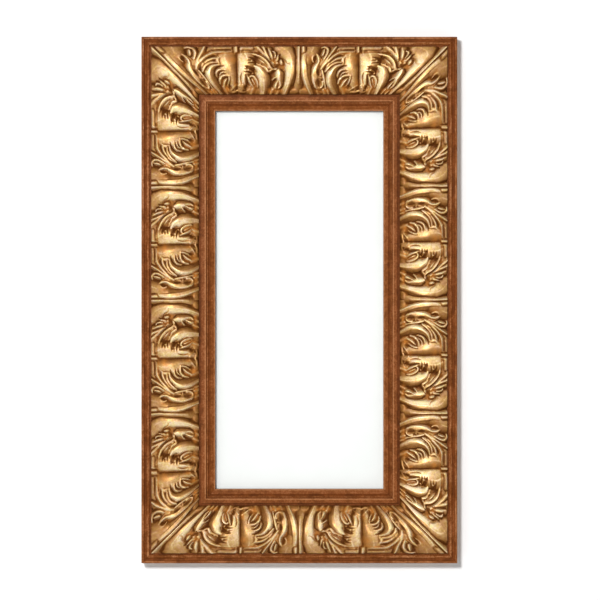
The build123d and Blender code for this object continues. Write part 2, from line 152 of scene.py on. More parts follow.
AFTER_SEAM_FORMS = {
    "flare": [(49, 13, 7, 1.2), (55, 17.5, 9, 2), (59, 24, 8.4, 3), (59.8, 31, 7.4, 3.5)],
    "flare_tip": [(58, 13, 4, 1.6), (54, 15.6, 4, 2)],
    "cluster_bed": [(31, 20, 4, 0.4), (36, 24.6, 4.6, 0.9), (40.4, 29, 4.4, 1.1), (43.6, 33, 4, 1.4)],
    "full_dome": [(16.6, 35.4, 1.2, 1.7), (20.6, 36.8, 2.2, 2.6), (24.4, 39.6, 3.8, 3.8),
                  (26.8, 44, 6.4, 4.7), (29, 49.6, 8, 5.1), (30, 56, 7.8, 4.9), (30, 62.4, 6, 4),
                  (29, 68.6, 4.6, 2.8)],
    "vein": [(14, 20.8, 1.1, 1.3), (20, 22.4, 1.7, 2.2), (26, 24.9, 2, 3), (31.2, 28.8, 2.2, 3.5),
             (34.8, 33.4, 2.1, 3.5), (37, 37.6, 2.2, 3.3), (39.8, 40.2, 1.9, 3)],
    "finger_1": [(25.4, 29.8, 0.7, 1.6), (28, 31.1, 1.2, 2.6), (30.4, 32.5, 1.2, 2.8),
                 (32.6, 34.3, 0.8, 2.4)],
    "finger_2": [(30.4, 36.4, 0.8, 1.8), (31.8, 38.6, 1.8, 2.7), (33.4, 41.2, 2.3, 3.1),
                 (35.2, 43, 1.9, 3), (37.8, 42, 1.6, 2.8)],
    "tip_1": [(22, 12, 1.7, 2.7), (25.4, 15.6, 2.5, 3.2), (29.4, 19.6, 2.4, 3.2), (33.4, 24.4, 1.8, 3),
              (37, 29.4, 1.1, 2.6)],
    "tip_2": [(29.4, 12.6, 1.3, 2.4), (30.8, 16.4, 2.4, 3.3), (33, 21, 2.5, 3.4), (36, 26.6, 1.6, 2.9)],
    "tip_3": [(36, 17, 1.2, 2.4), (37.6, 19.6, 2.6, 3.3), (38.8, 23.6, 2.8, 3.5), (40, 28.2, 1.6, 2.8)],
    "tip_4": [(39.8, 17.6, 0.8, 2), (42.4, 19.2, 1.3, 2.8), (43.2, 22.4, 1.4, 2.8), (42.6, 26, 1, 2.4)],
    "tip_5": [(46, 22.6, 1, 2), (45.8, 25, 2, 2.9), (45, 29, 1.7, 2.7)],
    "knob": [(48.8, 28.8, 1.4, 1.7), (49.7, 31, 2.3, 2.5), (50.2, 33, 1.8, 2.1)],
    "eye_arc_3": [(14.4, 50, 0.9, 2.2), (15.6, 48.4, 1.4, 2.7), (19, 49.4, 1.9, 3), (21.8, 53, 1.9, 3),
                  (23, 57, 1.6, 2.6), (23.2, 61, 1.1, 1.8)],
    "eye_leaf": [(12.6, 48.4, 1, 2.4), (13.2, 51.4, 1.7, 3), (14.8, 55.2, 2, 3.1), (17.2, 59, 1.7, 2.6),
                 (19.4, 61.6, 1, 1.8)],
    "eye_stem": [(7.6, 45.6, 1.4, 2.7), (8, 49, 2.3, 3.2), (8, 53, 2.6, 3.3), (9, 57.4, 2.1, 2.6)],
    "lintel_1": [(5, 14.8, 3.2, 2.2), (17, 14.8, 3, 2)],
    "shell_rim": [(49.8, 44, 2.2, 2.2), (50.4, 48, 2.2, 2.4), (50.1, 54, 2.2, 2.4), (48.6, 60, 2.4, 2.4),
                  (46, 63, 2, 2.4)],
    "inner_lip": [(38.6, 38.4, 1.5, 2.6), (41.2, 40, 1.6, 2.8), (44, 39.4, 1.6, 2.8)],
    "panel": [(9, 21.5, 8.6, 1), (10.8, 27, 10.6, 2.7), (10.8, 32, 10.6, 3.2), (9.8, 38, 9.6, 3.3),
              (8.2, 44, 8, 3), (6.8, 50, 6.4, 2.5), (5.8, 57, 5.2, 1.9), (5, 63, 4.4, 1.1)],
    "tip_bed": [(22, 12, 4, 1.4), (29, 13.6, 5, 1.9), (36, 16.4, 4.5, 1.6)],
    "shell_ball": [(44.7, 54.8, 0.9, 2.2), (43.8, 57.6, 1.8, 2.9), (43.3, 60.4, 2.8, 3.5),
                   (44.2, 62.4, 2, 2.9)],
    "shell_comma": [(39.8, 52.4, 0.9, 2.2), (41.6, 50.4, 1.2, 2.8), (44.4, 49, 1.3, 3.2)],
    "eye_streak": [(16.6, 52.2, 0.6, 1.9), (18.2, 55, 0.9, 2.2), (20, 58.6, 0.8, 1.8)],
    "low_tube": [(60, 25, 5.4, 2), (59.7, 31, 6, 3.2), (59, 38, 6.3, 4), (58.6, 46, 6.3, 4),
                 (57.4, 54, 5.9, 3.5), (55, 61.5, 5, 2.6), (52, 69.5, 4, 1.3)],
    "low_shell": [(46.2, 41.4, 3.4, 2.4), (47, 45.2, 4.8, 3.4), (47.6, 50, 4.8, 3.6), (48, 55, 4, 2.9),
                  (47.4, 60, 3.4, 2.3)],
}

# How far the crest of a form leans away from the seam, as a share of its half width
CREST_LEAN = {
    "tube": 0.8, "shell": 0.5, "low_tube": 0.65, "low_shell": 0.1, "panel": 0.3, "low_panel": -0.2,
    "dome": 0.3, "full_dome": 0.35, "flare": 0.3, "fan": -0.35, "vein": 0.5, "finger_1": 0.55,
    "finger_2": 0.55, "eye_arc_1": 0.4, "eye_arc_2": 0.4, "eye_arc_3": 0.4, "tip_1": 0.35, "tip_2": 0.35,
    "tip_3": 0.3,
}

# Gouge cuts into those forms: runs of (from the seam, from the outer edge, half width, depth) in mm
GOUGE_CUTS = {
    "seam": [(0, 22, 1, 0.8), (0, 40, 1.2, 1.4), (0, 58, 1.1, 1.1)],
    "crown_slit": [(2.9, 11, 0.8, 1.2), (2.9, 20, 0.8, 1.2)],
    "eye_pocket": [(9.6, 60.8, 2.4, 1.2), (10.8, 61.6, 2.6, 1.2)],
    "lip_crease": [(38.6, 43.6, 0.6, 0.8), (37, 49, 0.7, 0.9), (35.6, 54, 0.6, 0.6)],
}

BEFORE_SEAM_CUTS = {
    "strap_groove": [(66, 12, 0.8, 0.8), (66.2, 30, 0.8, 0.9), (65.6, 42, 0.7, 0.8), (64, 50, 0.6, 0.5)],
    "tube_crease": [(54, 33.5, 0.8, 0.8), (54.4, 42, 1, 1.2), (53.6, 52, 1, 1.3), (51, 59.4, 1, 1.3)],
    "knob_well": [(49, 24.6, 1.7, 1.7), (49.2, 27.2, 2.3, 2.5), (48.8, 29.8, 1.6, 1.7)],
    "hook_well": [(43.4, 16.6, 0.9, 0.7), (42.8, 19.4, 1.1, 1.5), (43.4, 22, 1.1, 1.6),
                  (42.6, 25, 1.1, 1.6), (41, 28.4, 0.9, 1.3)],
    "tip_gap": [(30.4, 12, 1.6, 1.6), (32.4, 16.6, 1.2, 1.6), (33.4, 21, 0.9, 1.4), (36.4, 26, 0.5, 0.8)],
    "vein_back": [(22, 17.4, 1.4, 1.2), (26.6, 21, 1, 1.3), (31.6, 25.6, 0.8, 1.1), (36, 30.4, 0.5, 0.6)],
    "finger_oval": [(28.9, 35.9, 0.8, 1.2), (31.1, 37.9, 1.4, 2), (33.1, 40.5, 1.2, 1.8)],
    "eye_gap_1": [(13.7, 35.5, 0.7, 1.4), (17.5, 36.5, 1, 2), (21.9, 38.8, 1.2, 2), (24.9, 42.9, 1.3, 2),
                  (26.1, 47.9, 1.2, 1.6)],
    "eye_gap_2": [(12.5, 45.1, 0.6, 1), (16.5, 45.5, 0.8, 1.4), (19.5, 47.5, 0.8, 1.4),
                  (21.1, 50.9, 0.8, 1.2)],
    "eye_gap_3": [(11.5, 49.9, 0.8, 1.4), (15.5, 50.9, 1.2, 2), (18.9, 53.9, 1.1, 1.8),
                  (20.7, 58.5, 0.9, 1.4)],
    "eye_gap_4": [(13.5, 42.1, 0.6, 1), (16.9, 42.1, 0.8, 1.6), (19.9, 43.7, 0.8, 1.6),
                  (22.1, 46.9, 0.8, 1.6), (22.9, 50.9, 0.7, 1.2)],
    "eye_slot": [(11.2, 50.2, 0.7, 1.2), (12.6, 54, 1, 1.9), (14.6, 58, 0.9, 1.5)],
    "crown_groove": [(5, 16.8, 1.2, 1), (20, 16.6, 1.4, 1.2)],
    "vein_crease": [(16, 23.4, 0.9, 1.2), (21.8, 24, 1.4, 1.7), (27, 27.2, 1.1, 1.4),
                    (32.4, 31.6, 0.7, 0.9)],
    "shell_oval_1": [(46.2, 41.2, 1.8, 1.4), (45.8, 44, 2.6, 2.1), (45.4, 46.6, 2, 1.6)],
    "shell_oval_2": [(46.2, 53.4, 2.4, 1.5), (45.8, 56.2, 3.7, 2), (45.2, 58.6, 2.8, 1.6)],
    "dome_crease": [(24.6, 45, 0.8, 1.4), (24.6, 51, 0.9, 1.6), (24.6, 57, 0.8, 1.2)],
}

AFTER_SEAM_CUTS = {
    "strap_groove": [(65.6, 12, 0.8, 0.8), (64.9, 30, 0.8, 1), (64.6, 38, 0.8, 1.2), (63.6, 46, 0.8, 1.2),
                     (62, 53, 1, 1.2), (59.8, 60, 1.2, 1.4), (58, 65, 1.2, 1.2)],
    "strap_well": [(63.8, 12.4, 2.2, 1.7), (64.3, 17, 2.3, 2.1), (65.1, 22, 1.6, 1.5),
                   (65.9, 27, 0.9, 0.8)],
    "tube_crease": [(52.8, 41, 0.9, 1.4), (53, 47, 1, 1.5), (52.8, 53, 1, 1.5), (51.4, 59.2, 1.1, 1.5),
                    (48.6, 63, 1, 1.2)],
    "knob_well": [(48, 22, 1.2, 1.2), (47.4, 26.4, 1, 1.2), (52.4, 28, 1.1, 1.6), (55.2, 32, 1, 1.4),
                  (58.2, 33.6, 0.8, 0.8)],
    "tip_gap_1": [(26, 11.8, 0.9, 1), (28.6, 15.6, 0.8, 1.2), (31.2, 20.2, 0.7, 1.1)],
    "tip_gap_2": [(33.8, 14, 1.1, 1.1), (35, 18, 1.1, 1.6), (36.4, 22.6, 0.8, 1.5), (38, 26.6, 0.5, 0.8)],
    "tip_gap_3": [(39.4, 18.6, 0.5, 0.8), (40.6, 21, 0.8, 1.6), (41.2, 24.4, 0.8, 1.4)],
    "tip_gap_4": [(44.6, 19.4, 1, 1), (44.6, 22.4, 0.8, 1.4), (43.9, 26.4, 0.6, 1)],
    "vein_back": [(20, 19.2, 0.9, 0.9), (27, 21.8, 0.8, 1.2), (32.8, 26.4, 0.9, 1.6), (36.6, 31, 1.2, 2),
                  (39, 35.4, 1.2, 1.8)],
    "vein_crease": [(20.6, 25, 1.4, 1.6), (25.4, 27.3, 1.2, 2), (28.8, 29.5, 0.9, 2),
                    (31.8, 32.2, 0.8, 1.6), (34, 35.4, 0.6, 1)],
    "hollow_1": [(16.6, 26.8, 1.6, 1.8), (19.8, 28.4, 3, 2.6), (22.8, 30, 3, 3.2), (25.2, 31.8, 2.2, 3.2)],
    "hollow_2": [(11.4, 37.8, 1.4, 1.8), (15.6, 39.3, 2.3, 2.6), (19.2, 40.8, 1.8, 2.5),
                 (22, 43.2, 0.8, 1.8)],
    "hollow_arm": [(22.4, 27, 1.9, 2.6), (25, 29.8, 1.6, 3.2), (28, 33.3, 1.7, 2.8), (31, 35.1, 1.5, 2.4),
                   (33.8, 36.8, 1.1, 1.8)],
    "tooth_1": [(12.4, 25.2, 0.5, 0.5), (16, 26, 1.2, 1.9), (20, 26.6, 1, 1.4)],
    "tooth_2": [(11.6, 28.8, 0.5, 0.5), (15.6, 29, 1.2, 2)],
    "tooth_3": [(12.6, 32.4, 0.5, 0.5), (16.4, 32, 1.1, 1.9), (21, 32, 1.4, 1.8)],
    "tooth_4": [(8.8, 36.6, 0.5, 0.5), (12.4, 37, 1.2, 1.9), (17, 38, 1.2, 1.6)],
    "tooth_5": [(8, 39.8, 0.4, 0.5), (12, 40, 1, 1.9)],
    "tooth_6": [(7.6, 43.4, 0.5, 0.5), (12, 43, 1.2, 1.9), (16, 44.2, 1.5, 2)],
    "eye_gap": [(13, 46.6, 0.9, 1.5), (17, 46.2, 0.9, 1.8), (21.2, 48, 0.8, 1.9), (24, 52.2, 0.7, 1.6),
                (24.9, 57, 0.6, 1)],
    "eye_hollow": [(15, 50.4, 0.5, 1), (16.2, 53.2, 0.6, 1.4), (18.2, 57, 0.6, 1.4), (20.4, 60.4, 0.6, 1)],
    "eye_slot": [(10.2, 46.6, 0.7, 1.4), (10.8, 50.6, 0.9, 2), (12.2, 55, 1, 1.9), (14, 59, 0.8, 1.3)],
    "stem_slot": [(5.4, 44.4, 0.6, 0.7), (4.4, 48.6, 0.9, 1.6), (4.6, 53.4, 0.9, 1.5),
                  (5.8, 57.4, 0.6, 0.9)],
    "crown_groove": [(5, 19.4, 0.9, 1), (18, 19.6, 0.9, 1)],
    "shell_gap": [(41.4, 43.6, 1.2, 1.8), (40.2, 46, 2.4, 2.8), (39.8, 49, 1.6, 2.2)],
    "shell_oval": [(44.8, 51.8, 0.9, 1.6), (42.8, 53.8, 1.6, 2.4), (40.6, 56.6, 1.3, 2.2),
                   (39.8, 60, 0.9, 1.4)],
    "shell_nick": [(46.6, 54, 0.9, 1.2), (47, 57, 1, 1.4), (47, 60, 0.8, 1)],
    "shell_shade": [(43, 34.4, 2.2, 1.8), (47, 36.4, 3.2, 2.2), (50.4, 39, 2.6, 2.2)],
    "cluster_well": [(37.8, 25.6, 0.8, 0.8), (40.4, 28.4, 1.5, 1.5), (43, 31.6, 1.4, 1.4),
                     (44.6, 34.6, 0.9, 0.9)],
}

# Where the red-orange ground shows: (from the seam, from the outer edge, reach along, reach across, share)
RUBBED_SPOTS = (
    (6, 28, 5, 4, 0.8), (9, 20.6, 9, 1.8, 0.7), (27, 20.5, 6, 2.6, 0.5), (41, 30, 4, 3.5, 0.7),
    (50, 35.5, 4, 3, 0.6), (57, 26, 4.5, 5, 0.5), (17, 63, 4.5, 4, 1.0), (19, 55, 4, 3.5, 0.6),
    (45, 65, 6, 2.2, 0.9), (37, 65, 3.5, 2.5, 0.8), (4, 57, 3.5, 4, 0.7), (61, 63, 4, 3, 0.4),
)

# How worn or grimy each band of the stick is, with painted shade in the grooves and painted highlight lines
# on the beads: from 0 in a groove to 1 on a bead, by mm from the outer edge
BAND_WEAR_AND_SHADING = (
    (0.0, 0.62), (2.4, 0.60), (3.6, 0.30), (5.6, 0.28), (6.6, 0.55), (8.0, 0.66), (9.6, 0.50),
    (10.4, 0.30), (12.0, 0.20), (69.2, 0.14), (71.6, 0.20), (72.6, 0.42), (75.4, 0.46), (76.0, 0.56),
    (76.6, 0.98), (77.3, 0.98), (77.9, 0.36), (78.6, 0.24), (79.6, 0.66), (80.6, 0.26), (82.4, 0.14),
    (83.4, 0.42), (86.6, 0.44), (87.1, 0.52), (87.6, 0.82), (88.9, 0.82),
)

# Soft boxes: name, place, size, and the share of plain light that each adds to a facing surface
LAMPS = (
    ("key_lamp", (-0.50, -3.5, 0.55), 0.32, 0.73),
    ("broad_lamp", (-1.3, -3.3, 1.4), 1.4, 0.12),
    ("fill_lamp", (1.6, -3.4, -0.4), 2.0, 0.03),
    ("back_lamp", (1.4, 2.8, 1.6), 1.6, 0.40),
    ("back_fill_lamp", (-1.8, 2.6, 0.4), 1.8, 0.18),
)


class ReliefSettings(bpy.types.PropertyGroup):
    """Sizes and colours of the carved and gilded band."""

    repeat: bpy.props.FloatProperty(
        name="Repeat", description="Nominal length of one repeat of the ornament",
        default=0.14, unit="LENGTH",
    )
    corner_setback: bpy.props.FloatProperty(
        name="Corner setback", description="Mean distance of the corner strap from a stick's end",
        default=0.0437, unit="LENGTH",
    )
    ground: bpy.props.FloatProperty(
        name="Ground", description="Level of the ground between the forms, in mm from the cushion",
        default=-1.6,
    )
    depth: bpy.props.FloatProperty(
        name="Depth", description="Factor on the height of every carved form", default=1.25,
    )
    grid: bpy.props.FloatProperty(
        name="Grid", description="Spacing of the carved surface's points", default=0.00063, unit="LENGTH",
    )
    seam_lead: bpy.props.FloatProperty(
        name="Seam lead", description="How far a seam lies before the middle of its repeat, in mm",
        default=1.4,
    )
    hand_wobble: bpy.props.FloatProperty(
        name="Hand wobble", description="How far the carving strays from its pattern, in mm", default=0.35,
    )
    seed: bpy.props.IntProperty(name="Seed", description="Seed of the hand wobble", default=7)
    # Crease: dark glaze in the hollows, and the deepest painted shade
    crease_colour: bpy.props.FloatVectorProperty(
        name="Crease", description="Dark glaze left in the hollows", subtype="COLOR",
        default=(0.090, 0.026, 0.003),
    )
    # Painted shade on the sides turned from the painted light
    shade_colour: bpy.props.FloatVectorProperty(
        name="Shade", description="Glazed gold on the sheltered sides", subtype="COLOR",
        default=(0.222, 0.091, 0.020),
    )
    gold_colour: bpy.props.FloatVectorProperty(
        name="Gold", description="Antique gold of the broad forms", subtype="COLOR",
        default=(0.36, 0.175, 0.058),
    )
    # Light gold on the high forms, and painted light on the sides turned to it
    lit_gold_colour: bpy.props.FloatVectorProperty(
        name="Light gold", description="Light gold on the high forms", subtype="COLOR",
        default=(0.54, 0.31, 0.125),
    )
    # Painted light: pale gold on the flanks facing the strip's start
    painted_light_colour: bpy.props.FloatVectorProperty(
        name="Pale gold", description="Pale gold on the sprayed flanks", subtype="COLOR",
        default=(0.80, 0.545, 0.275),
    )
    # Painted highlight: cream on the most open edges
    painted_highlight_colour: bpy.props.FloatVectorProperty(
        name="Glint", description="Cream on the most open edges", subtype="COLOR",
        default=(0.99, 0.80, 0.47),
    )
    rub_colour: bpy.props.FloatVectorProperty(
        name="Rubbed ground", description="Red-orange ground where the gold is rubbed", subtype="COLOR",
        default=(0.52, 0.185, 0.030),
    )


class StickSettings(bpy.types.PropertyGroup):
    """Colours of the stained sticks and their bare backs."""

    # Also painted shade in the grooves
    dark_stain_and_shade: bpy.props.FloatVectorProperty(
        name="Dark stain", description="Stain and grime in the grooves", subtype="COLOR",
        default=(0.105, 0.027, 0.005),
    )
    stain: bpy.props.FloatVectorProperty(
        name="Stain", description="Stain on the flats", subtype="COLOR", default=(0.196, 0.0575, 0.0108),
    )
    # Also painted highlight lines on the beads
    rubbed_stain_and_highlight: bpy.props.FloatVectorProperty(
        name="Rubbed stain", description="Stain rubbed thin on the beads", subtype="COLOR",
        default=(0.485, 0.216, 0.087),
    )
    bare_wood: bpy.props.FloatVectorProperty(
        name="Bare wood", description="Unstained wood at the back", subtype="COLOR",
        default=(0.60, 0.42, 0.25),
    )
    grain_step: bpy.props.FloatProperty(
        name="Grain", description="Width of one grain streak", default=0.0011, unit="LENGTH",
    )


class StageSettings(bpy.types.PropertyGroup):
    """Camera, fill light and floor."""

    view_height: bpy.props.FloatProperty(
        name="View height", description="Height that the picture shows at the frame's front",
        default=0.7234, unit="LENGTH",
    )
    lens: bpy.props.FloatProperty(
        name="Lens", description="Focal length in mm, long as in the photograph", default=200.0,
    )
    aim_right: bpy.props.FloatProperty(
        name="Aim right", description="How far right of the frame's centre the camera stands",
        default=0.0008, unit="LENGTH",
    )
    floor_drop: bpy.props.FloatProperty(
        name="Floor drop", description="How far the floor lies below the frame", default=0.28, unit="LENGTH",
    )
    fill: bpy.props.FloatProperty(
        name="Fill", description="Share of the light that comes from all round", default=0.17,
    )


class FrameSettings(bpy.types.PropertyGroup):
    """All settings of the picture frame."""

    relief: bpy.props.PointerProperty(
        name="Relief", description="The carved and gilded band", type=ReliefSettings,
    )
    sticks: bpy.props.PointerProperty(name="Sticks", description="The stained sticks", type=StickSettings)
    stage: bpy.props.PointerProperty(
        name="Stage", description="Camera, fill light and floor", type=StageSettings,
    )


class NodeBench:
    """Adds nodes to one tree and joins them."""

    def __init__(self, tree):
        self.tree = tree

    def add(self, kind, **settings):
        node = self.tree.nodes.new(kind)
        for key, value in settings.items():
            setattr(node, key, value)
        return node

    def put(self, socket, value):
        if isinstance(value, bpy.types.NodeSocket):
            self.tree.links.new(value, socket)
        elif hasattr(value, "__len__") and socket.type == "RGBA":
            socket.default_value = (*value[:3], 1.0)
        else:
            socket.default_value = value

    def fill(self, sockets, **values):
        """Sets or joins sockets by name, with _ for a space."""
        for name, value in values.items():
            self.put(sockets[name.replace("_", " ")], value)

    def math(self, operation, first, second=0.0):
        node = self.add("ShaderNodeMath", operation=operation)
        self.put(node.inputs[0], first)
        self.put(node.inputs[1], second)
        return node.outputs[0]

    def plus(self, first, second):
        return self.math("ADD", first, second)

    def minus(self, first, second):
        return self.math("SUBTRACT", first, second)

    def times(self, first, second):
        return self.math("MULTIPLY", first, second)

    def vary(self, tone, pattern, amount):
        """A tone with a pattern from 0 to 1 laid over it, by half of that amount either way."""
        return self.plus(tone, self.times(self.minus(pattern, 0.5), amount))

    def remap(self, value, low, high, to_low=0.0, to_high=1.0):
        node = self.add("ShaderNodeMapRange", interpolation_type="SMOOTHSTEP")
        self.fill(node.inputs, Value=value, From_Min=low, From_Max=high, To_Min=to_low, To_Max=to_high)
        return node.outputs["Result"]

    def noise(self, vector, scale, detail, roughness, distortion=0.0):
        node = self.add("ShaderNodeTexNoise")
        self.fill(node.inputs, Vector=vector, Scale=scale)
        self.fill(node.inputs, Detail=detail, Roughness=roughness, Distortion=distortion)
        return node.outputs["Fac"]

    def blend(self, factor, first, second, mode="MIX"):
        node = self.add("ShaderNodeMix", data_type="RGBA", blend_type=mode)
        colours = [s for s in node.inputs if s.type == "RGBA"]
        self.put(node.inputs["Factor"], factor)
        self.put(colours[0], first)
        self.put(colours[1], second)
        return next(s for s in node.outputs if s.type == "RGBA")

    def tinge(self, colour, mask, amount, other):
        """A colour turned towards another where the mask is, by that amount."""
        return self.blend(self.times(mask, amount), colour, other)

    def ramp(self, factor, stops):
        node = self.add("ShaderNodeValToRGB")
        elements = node.color_ramp.elements
        while len(elements) < len(stops):
            elements.new(0.5)
        for element, (position, colour) in zip(elements, stops):
            element.position = position
            element.color = (*colour[:3], 1.0)
        self.put(node.inputs["Fac"], factor)
        return node.outputs["Color"]

    def attribute(self, name):
        return self.add("ShaderNodeAttribute", attribute_name=name).outputs["Fac"]

    def object_point(self):
        return self.add("ShaderNodeTexCoord").outputs["Object"]

    def combine(self, x, y, z):
        node = self.add("ShaderNodeCombineXYZ")
        self.fill(node.inputs, X=x, Y=y, Z=z)
        return node.outputs[0]

    def split(self, vector):
        node = self.add("ShaderNodeSeparateXYZ")
        self.put(node.inputs[0], vector)
        return node.outputs

    def bump(self, height, distance, strength):
        node = self.add("ShaderNodeBump")
        self.fill(node.inputs, Height=height, Distance=distance, Strength=strength)
        return node.outputs["Normal"]

    def place(self, group, **inputs):
        node = self.add("ShaderNodeGroup", node_tree=group)
        self.fill(node.inputs, **inputs)
        return node.outputs


def new_group(name, inputs, outputs):
    """An empty shader node group with named float sockets, and its bench, input and output nodes."""
    tree = bpy.data.node_groups.new(name, "ShaderNodeTree")
    for socket, default in inputs:
        given = tree.interface.new_socket(socket, in_out="INPUT", socket_type="NodeSocketFloat")
        given.default_value = default
    for socket in outputs:
        tree.interface.new_socket(socket, in_out="OUTPUT", socket_type="NodeSocketFloat")
    bench = NodeBench(tree)
    return tree, bench, bench.add("NodeGroupInput").outputs, bench.add("NodeGroupOutput").inputs


def shared_group(name, make):
    """The node group of that name, made the first time it is asked for."""
    return bpy.data.node_groups.get(name) or make(name)


def make_stick_position(name):
    """Group: mm across the stick from its outer edge, mm along it, and mm from the mitre line."""
    tree, bench, _, out = new_group(name, (), ("Across", "Along", "From mitre"))
    x, _, z = bench.split(bench.object_point())
    from_side = bench.minus(HALF_WIDTH, bench.math("ABSOLUTE", x))
    from_end = bench.minus(HALF_HEIGHT, bench.math("ABSOLUTE", z))
    on_rail = bench.math("LESS_THAN", from_end, from_side)
    across = bench.math("MINIMUM", from_side, from_end)
    along = bench.plus(bench.times(x, on_rail), bench.times(z, bench.minus(1.0, on_rail)))
    mitre = bench.math("ABSOLUTE", bench.minus(from_side, from_end))
    for socket, value in (("Across", across), ("Along", along), ("From mitre", mitre)):
        bench.put(out[socket], bench.math("DIVIDE", value, MM))
    return tree


def make_uneven_tone(name):
    """Group: soft patches of tone, as left by brush, hand and age."""
    tree, bench, given, out = new_group(
        name, (("Patch mm", 12.0), ("Low", 0.35), ("High", 0.65), ("Stray", 0.6)), ("Tone",)
    )
    scale = bench.math("DIVIDE", 1.0 / MM, given["Patch mm"])
    noise = bench.noise(
        bench.object_point(), scale, detail=4.0, roughness=0.6, distortion=given["Stray"]
    )
    bench.put(out["Tone"], bench.remap(noise, given["Low"], given["High"]))
    return tree


def make_speck(name):
    """Group: small specks, from 0 to 1, for pits, dust and worn spots."""
    rarest, spread, softness = 0.72, 0.5, 0.12
    tree, bench, given, out = new_group(name, (("Speck mm", 1.0), ("Share", 0.25)), ("Mask",))
    scale = bench.math("DIVIDE", 1.0 / MM, given["Speck mm"])
    noise = bench.noise(bench.object_point(), scale, detail=2.0, roughness=0.7)
    low = bench.minus(rarest, bench.times(given["Share"], spread))
    bench.put(out["Mask"], bench.remap(noise, low, bench.plus(low, softness)))
    return tree


def stick_position(bench):
    return bench.place(shared_group("Stick position", make_stick_position))


def uneven_tone(bench, patch, low, high, stray):
    group = shared_group("Uneven tone", make_uneven_tone)
    return bench.place(group, Patch_mm=patch, Low=low, High=high, Stray=stray)["Tone"]


def specks(bench, size, share):
    group = shared_group("Specks", make_speck)
    return bench.place(group, Speck_mm=size, Share=share)["Mask"]


def fine_noise(bench, step, detail, roughness):
    """Noise over the piece itself, with grains about that many mm wide."""
    return bench.noise(bench.object_point(), 1.0 / (step * MM), detail, roughness)


def new_material(name, **plain):
    """A material with a Principled shader, whose plain values are set on its own sockets."""
    material = bpy.data.materials.new(name)
    material.use_nodes = True
    bench = NodeBench(material.node_tree)
    shader = material.node_tree.nodes["Principled BSDF"]
    bench.fill(shader.inputs, **plain)
    return material, bench, shader.inputs


def let_through(material, bench, share, tint):
    """Lets a share of the light pass straight through a material."""
    clear = bench.add("ShaderNodeBsdfTransparent")
    bench.fill(clear.inputs, Color=tint)
    mix = bench.add("ShaderNodeMixShader")
    nodes = material.node_tree.nodes
    for socket, source in zip(mix.inputs, (share, nodes["Principled BSDF"].outputs[0], clear.outputs[0])):
        bench.put(socket, source)
    bench.put(nodes["Material Output"].inputs["Surface"], mix.outputs[0])


def streak_point(bench, place, depth, along, across):
    """A point whose noise is drawn out along a stick, by those shares of its mm along and across."""
    return bench.combine(bench.times(place["Along"], along), bench.times(place["Across"], across), depth)


def stained_wood(settings):
    """Red-brown stain, dark with grime and painted shade in the grooves and rubbed thin with painted
    highlights on the beads, over bare wood at the back.
    """
    red_stain = (0.225, 0.052, 0.010)
    grain_weight, patch_weight, blotch_weight, red_weight = 0.55, 0.26, 0.34, 0.35
    spill_reach, back_roughness = 9.0, 0.3
    material, bench, shader = new_material("stained_wood", Specular_IOR_Level=0.05)
    place = stick_position(bench)
    across = place["Across"]
    depth = bench.math("DIVIDE", bench.split(bench.object_point())[1], MM)

    wear_and_shading = bench.ramp(
        bench.math("DIVIDE", across, STICK_WIDTH / MM),
        [(p * MM / STICK_WIDTH, (w, w, w)) for p, w in BAND_WEAR_AND_SHADING],
    )
    streaks = streak_point(bench, place, depth, along=0.045, across=1.0)
    grain = bench.noise(streaks, MM / settings.grain_step, detail=4.0, roughness=0.65, distortion=0.4)
    patches = uneven_tone(bench, patch=19.0, low=0.32, high=0.68, stray=1.2)
    blotches = uneven_tone(bench, patch=2.2, low=0.36, high=0.64, stray=0.8)
    tone = bench.vary(wear_and_shading, grain, grain_weight)
    tone = bench.vary(tone, patches, patch_weight)
    tone = bench.vary(tone, blotches, blotch_weight)
    streaks = streak_point(bench, place, depth, along=0.04, across=0.16)
    smears = bench.noise(streaks, scale=0.7, detail=3.0, roughness=0.6, distortion=0.6)
    smears = bench.remap(smears, 0.34, 0.66, 0.36, -0.64)
    on_outer_bands = bench.remap(across, 12.5, 10.0, 0.0, 0.42)
    tone = bench.plus(tone, bench.times(smears, on_outer_bands))
    tone = bench.minus(tone, bench.remap(place["From mitre"], 0.15, 0.7, 0.35, 0.0))
    stain = bench.ramp(
        tone, [(0.08, settings.dark_stain_and_shade), (0.5, settings.stain), (0.98, settings.rubbed_stain_and_highlight)]
    )
    stain = bench.tinge(stain, patches, red_weight, red_stain)

    streaks = streak_point(bench, place, depth, along=0.018, across=0.35)
    rings = bench.noise(streaks, scale=0.9, detail=5.0, roughness=0.6, distortion=0.8)
    late_wood = [c * 0.62 for c in settings.bare_wood]
    early_wood = [min(1.0, c * 1.18) for c in settings.bare_wood]
    bare = bench.ramp(rings, [(0.3, late_wood), (0.55, settings.bare_wood), (0.8, early_wood)])
    facing = bench.split(bench.add("ShaderNodeNewGeometry").outputs["True Normal"])[1]
    streaks = streak_point(bench, place, 0.0, along=0.05, across=1.0)
    spill = bench.noise(streaks, scale=0.5, detail=3.0, roughness=0.55)
    edge_spill = bench.remap(bench.plus(across, bench.times(spill, spill_reach)), 4.5, 7.5)
    is_back = bench.times(bench.remap(facing, 0.5, 0.8), edge_spill)
    rough = bench.remap(tone, 0.1, 0.9, 0.52, 0.36)
    bench.fill(
        shader, Base_Color=bench.blend(is_back, stain, bare),
        Roughness=bench.plus(rough, bench.times(is_back, back_roughness)),
        Normal=bench.bump(grain, distance=0.00012, strength=0.6),
    )
    return material


